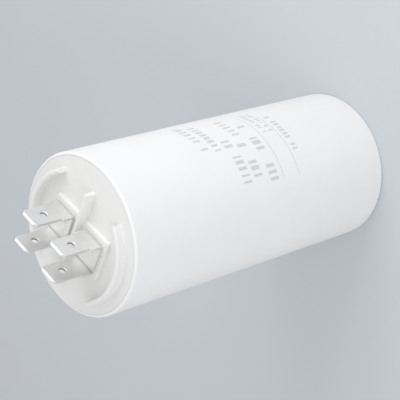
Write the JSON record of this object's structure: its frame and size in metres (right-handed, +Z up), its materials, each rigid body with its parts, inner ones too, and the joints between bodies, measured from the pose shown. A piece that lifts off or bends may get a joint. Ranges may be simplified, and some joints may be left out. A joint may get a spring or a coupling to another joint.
{
  "type": "motor run capacitor",
  "caption": "White moulded cylindrical can with push-on blade terminals on its lid: a film capacitor for running a motor.",
  "frame": {"origin": "centre of the can's flat foot", "axes": "+Z up the can's axis to the blades, +X from the left pole to the right pole, +Y along the divider bar"},
  "size_m": [0.045, 0.045, 0.114],
  "materials": {
    "can_plastic": "white moulded plastic, satin",
    "lid_plastic": "white moulded plastic, satin",
    "tinned_brass": "stamped sheet with a bright tin plating",
    "core_plastic": "plain moulded plastic",
    "film": "metallised film, wound tight",
    "wrap_film": "clear film in several turns",
    "zinc_spray": "rough sprayed metal",
    "copper": "drawn wire",
    "sleeve_plastic": "soft insulation",
    "solder": "smooth solder",
    "resin": "cast potting resin"
  },
  "bodies": {
    "root": {"case": "can_plastic", "lid": "lid_plastic", "terminal_left": "tinned_brass", "terminal_right": "tinned_brass", "rivet_left": "tinned_brass", "rivet_right": "tinned_brass", "solder_tag_left": "tinned_brass", "solder_tag_right": "tinned_brass", "core_tube": "core_plastic", "winding": "film", "outer_wrap": "wrap_film", "end_spray_top": "zinc_spray", "end_spray_bottom": "zinc_spray", "lead_short": "copper", "lead_long": "copper", "sleeve_short": "sleeve_plastic", "sleeve_long": "sleeve_plastic", "solder_top": "solder", "solder_bottom": "solder", "resin": "resin"}
  },
  "joints": []
}
